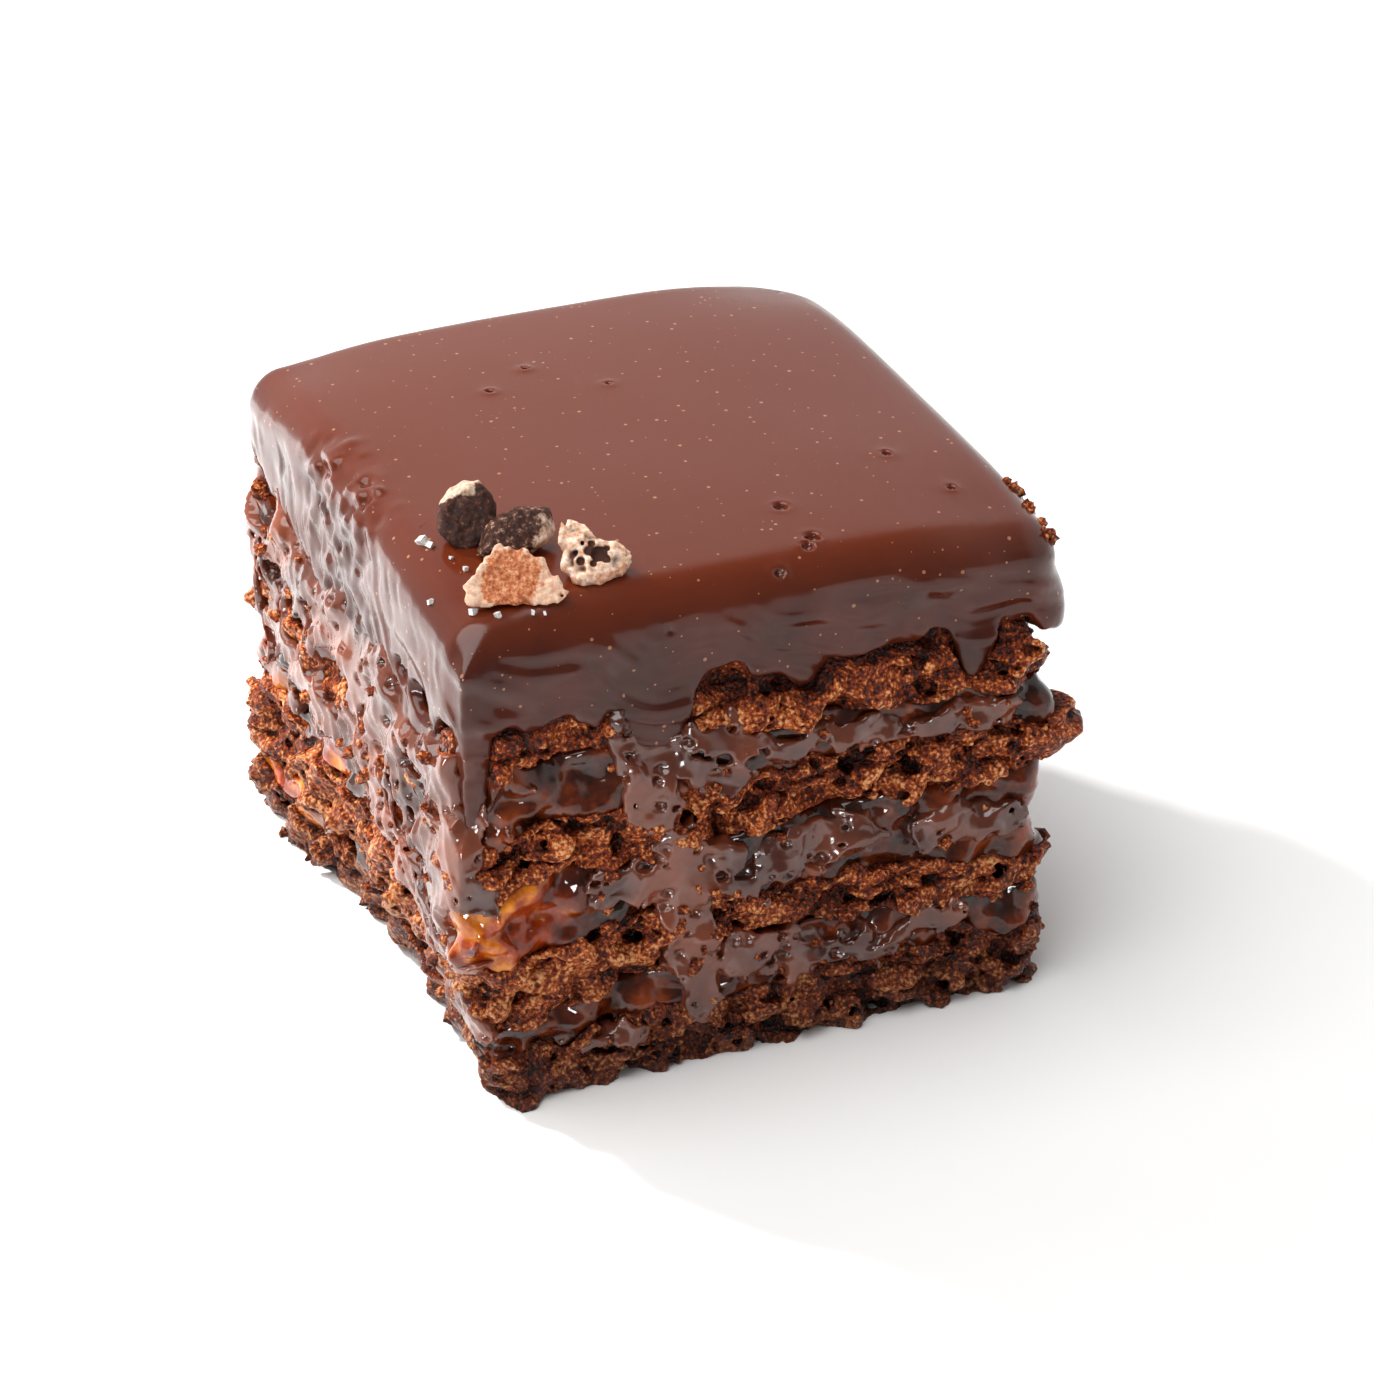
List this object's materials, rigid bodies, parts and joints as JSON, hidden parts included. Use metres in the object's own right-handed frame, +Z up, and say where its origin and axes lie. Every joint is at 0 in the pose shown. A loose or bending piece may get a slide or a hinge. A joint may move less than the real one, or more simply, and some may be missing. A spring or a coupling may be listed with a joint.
{
  "type": "sacher torte",
  "caption": "Hand-cut square of layered chocolate torte: sponges with jam between them, poured glossy chocolate glaze with runs down the sides, and cocoa nibs on top near one corner.",
  "frame": {"origin": "middle of the underside, under the middle of the whole cake's box", "axes": "+Z up; -Y out of the front cut face, which shows widest in the picture; -X out of the left face"},
  "size_m": [0.0464, 0.0478, 0.0406],
  "materials": {
    "sponge": null,
    "jam": null,
    "glaze": null,
    "nib_dark": null,
    "nib_pale": null
  },
  "bodies": {
    "root": {"sponge_1": "sponge", "sponge_2": "sponge", "sponge_3": "sponge", "sponge_4": "sponge", "jam_1": "jam", "jam_2": "jam", "jam_3": "jam", "glaze": "glaze", "nib_1": "nib_dark", "nib_2": "nib_dark", "nib_3": "nib_pale", "nib_4": "nib_pale"}
  },
  "joints": []
}
